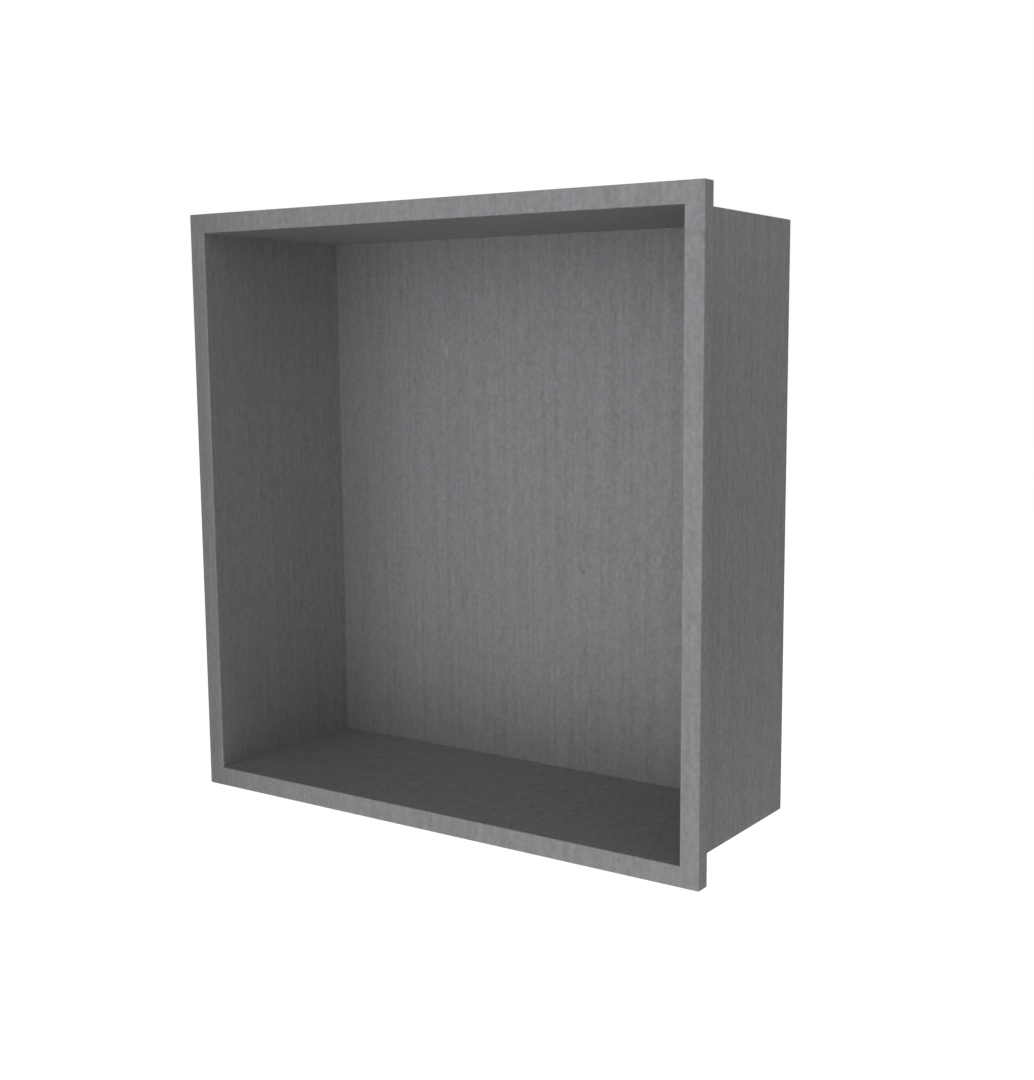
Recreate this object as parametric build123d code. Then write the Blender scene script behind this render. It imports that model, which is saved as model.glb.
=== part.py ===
from build123d import *
import os

# A shower niche insert: a square box of folded steel sheet, open at the front, with a flat rim
# round the opening whose outer edge is folded back to the wall. One sheet, folded and welded.
# Millimetres. X is to the right, Z is up and Y runs into the wall. The origin is at the middle
# of the opening, in the plane of the wall face that the rim's folded lip rests on.

# Driving dimensions
RIM_WIDTH = 305.0  # over the rim, side to side
RIM_HEIGHT = 305.0  # over the rim, top to bottom
RIM_FACE = 10.0  # flat face of the rim, from its outer edge to the opening
LIP_DEPTH = 7.0  # how far the rim stands out from the wall
NICHE_DEPTH = 99.4  # inside, from the rim's front to the back panel
SHEET = 1.2  # thickness of the steel sheet
FOLD_RADIUS = 0.6  # outside of a fold, which is grooved behind to close crisply, and of a ground weld

# The opening in the rim, and the box behind it
OPENING_WIDTH = RIM_WIDTH - 2 * RIM_FACE
OPENING_HEIGHT = RIM_HEIGHT - 2 * RIM_FACE
BOX_WIDTH = OPENING_WIDTH + 2 * SHEET
BOX_HEIGHT = OPENING_HEIGHT + 2 * SHEET

# Depths along Y, from the rim's front to the back of the box
WALL_FACE = 0.0
RIM_FRONT = WALL_FACE - LIP_DEPTH
RIM_BEHIND = RIM_FRONT + SHEET
BACK_INSIDE = RIM_FRONT + NICHE_DEPTH
BACK_OUTSIDE = BACK_INSIDE + SHEET


def block(width, height, front, back):
    """A plain block round the Y axis, between two depths."""
    return Pos(0, (front + back) / 2, 0) * Box(width, back - front, height)


def folded_block(width, height, front, back, fold):
    """A block with its four corners welded and ground, and the edges at one depth folded."""
    solid = block(width, height, front, back)
    welds = solid.edges().filter_by(Axis.Y)
    folds = solid.edges().filter_by_position(Axis.Y, fold, fold)
    return fillet(welds + folds, FOLD_RADIUS)


def rim():
    """The flat frame and its lip, hollow behind and still closed over the opening."""
    outside = folded_block(RIM_WIDTH, RIM_HEIGHT, RIM_FRONT, WALL_FACE, RIM_FRONT)
    hollow = block(RIM_WIDTH - 2 * SHEET, RIM_HEIGHT - 2 * SHEET, RIM_BEHIND, WALL_FACE)
    return outside - hollow


def box():
    """The outside of the box, from the middle of the rim's sheet to the back."""
    return folded_block(BOX_WIDTH, BOX_HEIGHT, RIM_FRONT + SHEET / 2, BACK_OUTSIDE, BACK_OUTSIDE)


def niche_shell():
    """The whole insert: rim and box in one, with the space for bottles taken out."""
    space = block(OPENING_WIDTH, OPENING_HEIGHT, RIM_FRONT, BACK_INSIDE)
    shell = rim() + box() - space
    rim_face = shell.faces().sort_by(Axis.Y).first
    mouth = rim_face.inner_wires()[0].edges()
    return fillet(mouth, FOLD_RADIUS)


os.makedirs("parts", exist_ok=True)
export_step(niche_shell().solid(), "parts/niche_shell.step")
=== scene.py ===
# %% [markdown]
# # A shower niche insert in brushed steel
# The insert is one sheet of dark grey steel: cut to a cross, folded into an open box, turned out at
# the front into a rim and a lip, welded at its corners and let into a shower wall. Its form is already
# exact, and flat walls with crisp folds gain nothing from another mesh, so the folded shell stays as
# it is. This lesson is about its finish and its light: the brushed grain, a white studio, the camera.

# %% Load the folded shell
import math

import bpy
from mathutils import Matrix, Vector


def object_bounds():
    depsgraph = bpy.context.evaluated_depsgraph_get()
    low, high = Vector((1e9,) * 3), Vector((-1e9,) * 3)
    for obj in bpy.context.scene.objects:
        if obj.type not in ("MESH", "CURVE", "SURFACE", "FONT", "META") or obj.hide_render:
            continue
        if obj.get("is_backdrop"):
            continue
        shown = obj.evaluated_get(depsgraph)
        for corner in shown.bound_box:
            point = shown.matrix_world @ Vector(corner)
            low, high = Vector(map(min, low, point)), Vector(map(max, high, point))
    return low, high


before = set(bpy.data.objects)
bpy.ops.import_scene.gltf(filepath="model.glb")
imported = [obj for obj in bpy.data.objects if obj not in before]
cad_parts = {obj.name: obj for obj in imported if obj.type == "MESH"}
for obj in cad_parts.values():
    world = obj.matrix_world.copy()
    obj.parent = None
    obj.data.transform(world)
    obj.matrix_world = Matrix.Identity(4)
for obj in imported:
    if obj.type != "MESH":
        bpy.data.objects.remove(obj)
cad_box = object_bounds()
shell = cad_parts["niche_shell"]

MM = 0.001
sides = [round(side / MM, 1) for side in cad_box[1] - cad_box[0]]
print("niche shell:", sides, "mm,", len(shell.data.polygons), "faces")

# %% [markdown]
# ## Which way the brush ran
# The blank was brushed in one direction while it was flat, and the folds carry that direction with
# them: the grain is upright on the back panel, the side walls and the whole rim, and runs from front to
# back on the floor and the ceiling. An unwrapped blank could carry it, but the walls stand square to
# the axes, so the way that a face looks is enough. A position is laid out with the grain along its
# third axis: on faces that look up or down, depth takes the place of height. Noise is weakest on the
# planes of its own lattice, and a wall may lie in one, so the layout is also turned about the grain.

# %% A material for the sheet, and two helpers that wire nodes
sheet = bpy.data.materials.new("brushed_sheet")
sheet.use_nodes = True
tree = sheet.node_tree
steel = tree.nodes["Principled BSDF"]


def wire(tree, kind, sockets, **settings):
    """A new node with its settings. A socket takes a plain value or another node's output."""
    made = tree.nodes.new(kind)
    for name, value in settings.items():
        setattr(made, name, value)
    for name, value in sockets.items():
        if isinstance(value, bpy.types.NodeSocket):
            tree.links.new(value, made.inputs[name])
        else:
            made.inputs[name].default_value = value
    return made


def reckon(tree, operation, *values):
    """The output of a Math node."""
    return wire(tree, "ShaderNodeMath", dict(enumerate(values)), operation=operation).outputs[0]


print("material:", sheet.name)

# %% Lay the position out along the grain
DIAGONAL = math.sqrt(0.5)  # a face turned by 45 degrees
OFF_LATTICE = math.radians(31)

coordinates = wire(tree, "ShaderNodeTexCoord", {})
position = coordinates.outputs["Object"]
across, depth, height = wire(tree, "ShaderNodeSeparateXYZ", {"Vector": position}).outputs
looks = wire(tree, "ShaderNodeVectorMath", {0: coordinates.outputs["Normal"]}, operation="ABSOLUTE")
looks_sideways, looks_ahead, looks_up = wire(tree, "ShaderNodeSeparateXYZ", {0: looks.outputs[0]}).outputs
sideways = reckon(tree, "GREATER_THAN", looks_sideways, DIAGONAL)
level = reckon(tree, "GREATER_THAN", looks_up, DIAGONAL)
second = wire(tree, "ShaderNodeMix", {"Factor": level, "A": depth, "B": height}).outputs["Result"]
along = wire(tree, "ShaderNodeMix", {"Factor": level, "A": height, "B": depth}).outputs["Result"]
square = wire(tree, "ShaderNodeCombineXYZ", {"X": across, "Y": second, "Z": along}).outputs["Vector"]
laid_out = wire(
    tree, "ShaderNodeVectorRotate", {"Vector": square, "Angle": OFF_LATTICE}, rotation_type="Z_AXIS"
).outputs["Vector"]
print("grain: upright, and front to back on faces that look up or down")

# %% [markdown]
# ## The brush marks
# A brush leaves marks of several grades at once: hairlines, a fine grain, short dashes, long streaks,
# broad bands where the belt ran a little fresher, and a mottling from the rolled sheet below. Each is
# the same thing at another size, noise drawn out along the grain, so one node group makes them all from
# a width and a length. Lines drawn on a picture would be sharper, but they would repeat, and noise never
# does. The side walls were gone over again with short strokes once the box was welded, so their short
# marks are stronger. Inside, the floor and the ceiling were gone over most, and their long marks are
# weaker.

# %% Group that draws marks of one grade
NOISE_MIDDLE = 0.5


def group_socket(group, name, way, kind):
    """A new socket on the outside of a node group."""
    group.interface.new_socket(name, in_out=way, socket_type="NodeSocket" + kind)


brush = bpy.data.node_groups.new("brush_marks", "ShaderNodeTree")
group_socket(brush, "Position", "INPUT", "Vector")
group_socket(brush, "Width", "INPUT", "Float")
group_socket(brush, "Length", "INPUT", "Float")
group_socket(brush, "Marks", "OUTPUT", "Float")
given = brush.nodes.new("NodeGroupInput").outputs
mark_size = wire(
    brush, "ShaderNodeCombineXYZ", {"X": given["Width"], "Y": given["Width"], "Z": given["Length"]}
)
drawn_out = wire(
    brush, "ShaderNodeVectorMath", {0: given["Position"], 1: mark_size.outputs[0]}, operation="DIVIDE"
)
noise = wire(brush, "ShaderNodeTexNoise", {"Vector": drawn_out.outputs[0], "Scale": 1.0, "Detail": 0.0})
marks_centred = reckon(brush, "SUBTRACT", noise.outputs["Fac"], NOISE_MIDDLE)
wire(brush, "NodeGroupOutput", {"Marks": marks_centred})
print("node group:", brush.name, "of", len(brush.nodes), "nodes")

# %% The grades of marks on this sheet
GRADES = {  # width and length of a mark, and its strength ahead, on the sides, on floor and ceiling
    "hairlines": (0.25 * MM, 12 * MM, 0.07, 0.08, 0.07),
    "grain": (2.1 * MM, 2.2 * MM, 0.20, 0.23, 0.26),
    "dashes": (2.2 * MM, 7 * MM, 0.10, 0.17, 0.12),
    "streaks": (2.0 * MM, 90 * MM, 0.115, 0.11, 0.05),
    "bands": (4 * MM, 160 * MM, 0.075, 0.075, 0.05),
    "mottling": (6 * MM, 9 * MM, 0.07, 0.08, 0.09),
}


def marks(width, length):
    """Marks of one grade all over the sheet, in values about zero."""
    grade = wire(tree, "ShaderNodeGroup", {}, node_tree=brush)
    tree.links.new(laid_out, grade.inputs["Position"])
    grade.inputs["Width"].default_value = width
    grade.inputs["Length"].default_value = length
    return grade.outputs["Marks"]


# inside, the floor looks up from below the middle and the ceiling looks down from above it
normal_up = wire(tree, "ShaderNodeSeparateXYZ", {0: coordinates.outputs["Normal"]}).outputs["Z"]
looks_inwards = reckon(tree, "LESS_THAN", reckon(tree, "MULTIPLY", normal_up, height), 0.0)
floor_or_ceiling = reckon(tree, "MULTIPLY", level, looks_inwards)
brushed = 0.0
for width, length, ahead, aside, inside in GRADES.values():
    upright = wire(tree, "ShaderNodeMix", {"Factor": sideways, "A": ahead, "B": aside}).outputs["Result"]
    strength = wire(tree, "ShaderNodeMix", {"Factor": floor_or_ceiling, "A": upright, "B": inside})
    brushed = reckon(tree, "MULTIPLY_ADD", marks(width, length), strength.outputs["Result"], brushed)
print("grades of brush marks:", ", ".join(GRADES))

# %% [markdown]
# ## The colour of the steel
# The sheet is a dark grey that wavers, in patches of a few millimetres, between a breath of warm and a
# breath of cool, as rolled steel does. It is cooler as a whole towards the upper left, and the face of
# the rim is a trace rosier. The marks lighten and darken it by a few parts in a hundred. Along the folds
# its colour is painted darker: a painted shade that takes the gleam off the rounded edges and darkens
# the inside creases. Bending has also stretched and dulled the steel there, which the roughness carries.
# A fold shows itself in its normal: on a flat wall one part of the normal is one, and on the rounded
# fold none is, so no mask has to be painted. Use has left a dark spot and a light scratch on the back
# panel, and a speck with a dark edge on the left wall. Each is a small ball round its place, drawn out
# for the scratch, that fades outwards.

# %% Marks, and painted shade along the folds
# painted shade: the colour along every fold is darkened, which takes the gleam off the rounded edges and
# darkens the inside creases
PAINTED_FOLD_SHADE = -0.5

squarest = reckon(tree, "MAXIMUM", reckon(tree, "MAXIMUM", looks_sideways, looks_ahead), looks_up)
fold = reckon(tree, "SUBTRACT", 1.0, squarest)
tone = reckon(tree, "ADD", brushed, 1.0)
# the folds' painted shade darkens the colour here
tone = reckon(tree, "MULTIPLY_ADD", fold, PAINTED_FOLD_SHADE, tone)
print("folds darker by up to", round(-PAINTED_FOLD_SHADE * (1 - DIAGONAL), 2))

# %% The spot, the scratch and the speck
BLEMISHES = {  # place and reach along X, Y and Z in millimetres, and how far the steel is lightened
    "spot": ((27.2, 92.4, -33.8), (2.0, 2.0, 2.0), -0.28),
    "scratch": ((-62.8, 92.4, 82.0), (2.3, 2.3, 5.6), 0.3),
    "edge of a speck": ((-142.5, 57.6, -61.7), (3.6, 3.6, 3.4), -0.22),
    "speck": ((-142.5, 58.6, -61.8), (2.2, 2.2, 1.7), 0.5),
}

for place, reach, lighter in BLEMISHES.values():
    ball = wire(
        tree,
        "ShaderNodeMapping",
        {"Vector": position, "Location": [at * MM for at in place], "Scale": [half * MM for half in reach]},
        vector_type="TEXTURE",
    )
    outwards = wire(tree, "ShaderNodeVectorMath", {0: ball.outputs[0]}, operation="LENGTH")
    fading = wire(
        tree,
        "ShaderNodeMapRange",
        {"Value": outwards.outputs["Value"], "To Min": lighter, "To Max": 0.0},
        interpolation_type="SMOOTHSTEP",
    )
    tone = reckon(tree, "ADD", tone, fading.outputs["Result"])
print("blemishes:", ", ".join(BLEMISHES))

# %% The tinted colour
WARM_STEEL = (0.3336, 0.335, 0.3285)
COOL_STEEL = (0.3378, 0.335, 0.3515)
PATCH_WIDTH = 5 * MM
PATCH_LENGTH = 12 * MM
PATCH_CONTRAST = 3.7
HALF_COOL = 0.5
COOLER_TOWARDS = (-0.9, 0, 2.3)  # for each metre along X, Y and Z
RIM_ROSIER = (0.0058, 0, 0)
BEHIND_RIM_FACE = -6.4 * MM

drift = wire(tree, "ShaderNodeVectorMath", {0: position, 1: COOLER_TOWARDS}, operation="DOT_PRODUCT")
coolness = reckon(tree, "ADD", drift.outputs["Value"], HALF_COOL)
patches = reckon(tree, "MULTIPLY_ADD", marks(PATCH_WIDTH, PATCH_LENGTH), PATCH_CONTRAST, coolness)
tint = wire(
    tree, "ShaderNodeMix", {"Factor": patches, "A": WARM_STEEL, "B": COOL_STEEL}, data_type="VECTOR"
).outputs["Result"]
on_rim = reckon(tree, "LESS_THAN", depth, BEHIND_RIM_FACE)
tint = wire(
    tree, "ShaderNodeVectorMath", {0: on_rim, 1: RIM_ROSIER, 2: tint}, operation="MULTIPLY_ADD"
).outputs["Vector"]
colour = wire(tree, "ShaderNodeVectorMath", {0: tint, "Scale": tone}, operation="SCALE")
tree.links.new(colour.outputs[0], steel.inputs["Base Color"])
print("steel: from", WARM_STEEL, "to", COOL_STEEL)

# %% [markdown]
# ## How the sheet shines
# A brushed metal scatters light far across its grain and less along it, which stretches each gleam into
# a band. The shader's own anisotropy does that, if its tangent points across the grain: along X, or
# along Y on the side walls. Deeper marks are rougher and darker, so the same sum that tints the steel
# also sets its roughness and, a few hundredths of a millimetre deep, its bump.

# %% Roughness, bump and the stretched gleam
ROUGHNESS = 0.67
MARKS_ROUGHEN = -0.25
FOLD_ROUGHENS = 0.3
ANISOTROPY = 0.3
MARK_DEPTH = 0.03 * MM

steel.inputs["Metallic"].default_value = 1.0
steel.inputs["Anisotropic"].default_value = ANISOTROPY
tangent = wire(
    tree, "ShaderNodeMix", {"Factor": sideways, "A": (1, 0, 0), "B": (0, 1, 0)}, data_type="VECTOR"
)
tree.links.new(tangent.outputs["Result"], steel.inputs["Tangent"])
roughness = reckon(tree, "MULTIPLY_ADD", brushed, MARKS_ROUGHEN, ROUGHNESS)
roughness = reckon(tree, "MULTIPLY_ADD", fold, FOLD_ROUGHENS, roughness)
tree.links.new(roughness, steel.inputs["Roughness"])
bump = wire(tree, "ShaderNodeBump", {"Height": brushed, "Distance": MARK_DEPTH})
tree.links.new(bump.outputs["Normal"], steel.inputs["Normal"])
shell.material_slots[0].material = sheet
print("roughness about", ROUGHNESS, "with anisotropy", ANISOTROPY)

# %% [markdown]
# ## A white tent
# Metal shows whatever stands round it, so a studio sets it in a tent of white cloth. Lamps in front of
# the box would draw hot spots, and a world of one even white is the tent with no seams. Below it lies
# white paper, as far under the insert as a shower's floor is, because the insert hangs in a wall. To the
# camera, and in the metal's reflections, the paper glows a little, so that it meets the white behind it
# without a line and keeps its soft shadows.

# %% The tent and the paper floor
FLOOR_HEIGHT = -1.1
FLOOR_SIZE = 20
WHITE = (1, 1, 1, 1)
PAPER = (0.9, 0.9, 0.9, 1)
PAPER_GLOW = 0.17

scene = bpy.context.scene
scene.view_settings.view_transform = "Standard"
tent = bpy.data.worlds.new("white_tent")
tent.use_nodes = True
cloth = tent.node_tree.nodes["Background"]
cloth.inputs["Color"].default_value = WHITE
cloth.inputs["Strength"].default_value = 1.0
scene.world = tent


def matt(name, colour):
    """A paper finish that has no gloss."""
    made = bpy.data.materials.new(name)
    made.use_nodes = True
    surface = made.node_tree.nodes["Principled BSDF"]
    surface.inputs["Base Color"].default_value = colour
    surface.inputs["Roughness"].default_value = 1.0
    surface.inputs["Specular IOR Level"].default_value = 0.0
    return made, surface


bpy.ops.object.select_all(action="DESELECT")
bpy.ops.mesh.primitive_plane_add(size=FLOOR_SIZE, location=(0, 0, FLOOR_HEIGHT))
floor = bpy.context.object
floor.name = "studio_floor"
paper, paper_surface = matt("white_paper", PAPER)
paper_surface.inputs["Emission Color"].default_value = WHITE
ray = wire(paper.node_tree, "ShaderNodeLightPath", {}).outputs
seen = reckon(paper.node_tree, "ADD", ray["Is Camera Ray"], ray["Is Glossy Ray"])
glow = reckon(paper.node_tree, "MULTIPLY", seen, PAPER_GLOW)
paper.node_tree.links.new(glow, paper_surface.inputs["Emission Strength"])
paper.cycles.emission_sampling = "NONE"  # it is seen, and isn't a lamp
floor.data.materials.append(paper)
floor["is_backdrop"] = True
print("floor at", FLOOR_HEIGHT, "m")

# %% [markdown]
# ## Dark cards
# In an even tent a metal box has no sides: every face is the same white. Photographers stand dark cards
# beside it, and each face that sees one turns darker. A long card at the right darkens the outside of
# the right wall, one at the left tones the panels that look forward, and a narrow flag close to the
# left edge shades the left strip of the rim. Darker steel would do none of that, because the strips of
# the rim are one metal and still differ. The cards stay out of the camera's sight.

# %% Stand the cards round the box
CARDS = {  # centre, width, height, turn from facing the front, in degrees, and grey
    "right_card": ((0.75, 0.35, -0.05), 1.5, 1.1, -65, 0.24),
    "left_card": ((-0.90, -0.35, -0.27), 0.9, 0.8, 105, 0.03),
    "left_flag": ((-0.20, -0.06, 0.0), 0.11, 0.5, 90, 0.28),
}

for name, (centre, width, tall, turn, grey) in CARDS.items():
    stance = (math.pi / 2, 0, math.radians(turn))
    bpy.ops.object.select_all(action="DESELECT")
    bpy.ops.mesh.primitive_plane_add(size=1, location=centre, rotation=stance)
    card = bpy.context.object
    card.name = name
    card.scale = (width, tall, 1)
    card.visible_camera = False
    card.data.materials.append(matt(name, (grey, grey, grey, 1))[0])
    card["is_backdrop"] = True
    print(name, "of", width, "by", tall, "m, grey", grey)

# %% [markdown]
# ## The camera
# The insert is seen from its right and a little above its middle, about seven tenths of a metre away,
# so that the right wall shows outside and the left wall shows inside. The lens was found from the
# corners of the rim and of the box: their lines converge as a long normal lens draws them, and a small
# shift puts the insert left of the middle.

# %% Set up the camera
CAMERA_PLACE = (0.444, -0.5437, 0.0829)
AZIMUTH = math.radians(32.459)
ELEVATION = math.radians(7.832)
FOCAL_LENGTH = 48.392  # in millimetres
SHIFT = (-0.0795, 0.0087)
NEAREST_SEEN = 0.01

lens = bpy.data.cameras.new("camera")
lens.lens = FOCAL_LENGTH
lens.shift_x, lens.shift_y = SHIFT
lens.clip_start = NEAREST_SEEN
camera = bpy.data.objects.new("camera", lens)
camera.location = CAMERA_PLACE
camera.rotation_euler = (math.pi / 2 - ELEVATION, 0, AZIMUTH)
scene.collection.objects.link(camera)
scene.camera = camera
print("camera", round(math.dist(CAMERA_PLACE, (0, 0, 0)), 3), "m from the middle of the rim's plane")

# %% [markdown]
# ## The size
# A finish must not change a size. The box round the finished insert is measured against the box that
# the shell came with, and both should be the same.

# %% Check the size and finish
visual_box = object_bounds()
moved = max(math.dist(new, old) for new, old in zip(visual_box, cad_box))
print("corners of the box moved by", moved / MM, "mm at most")
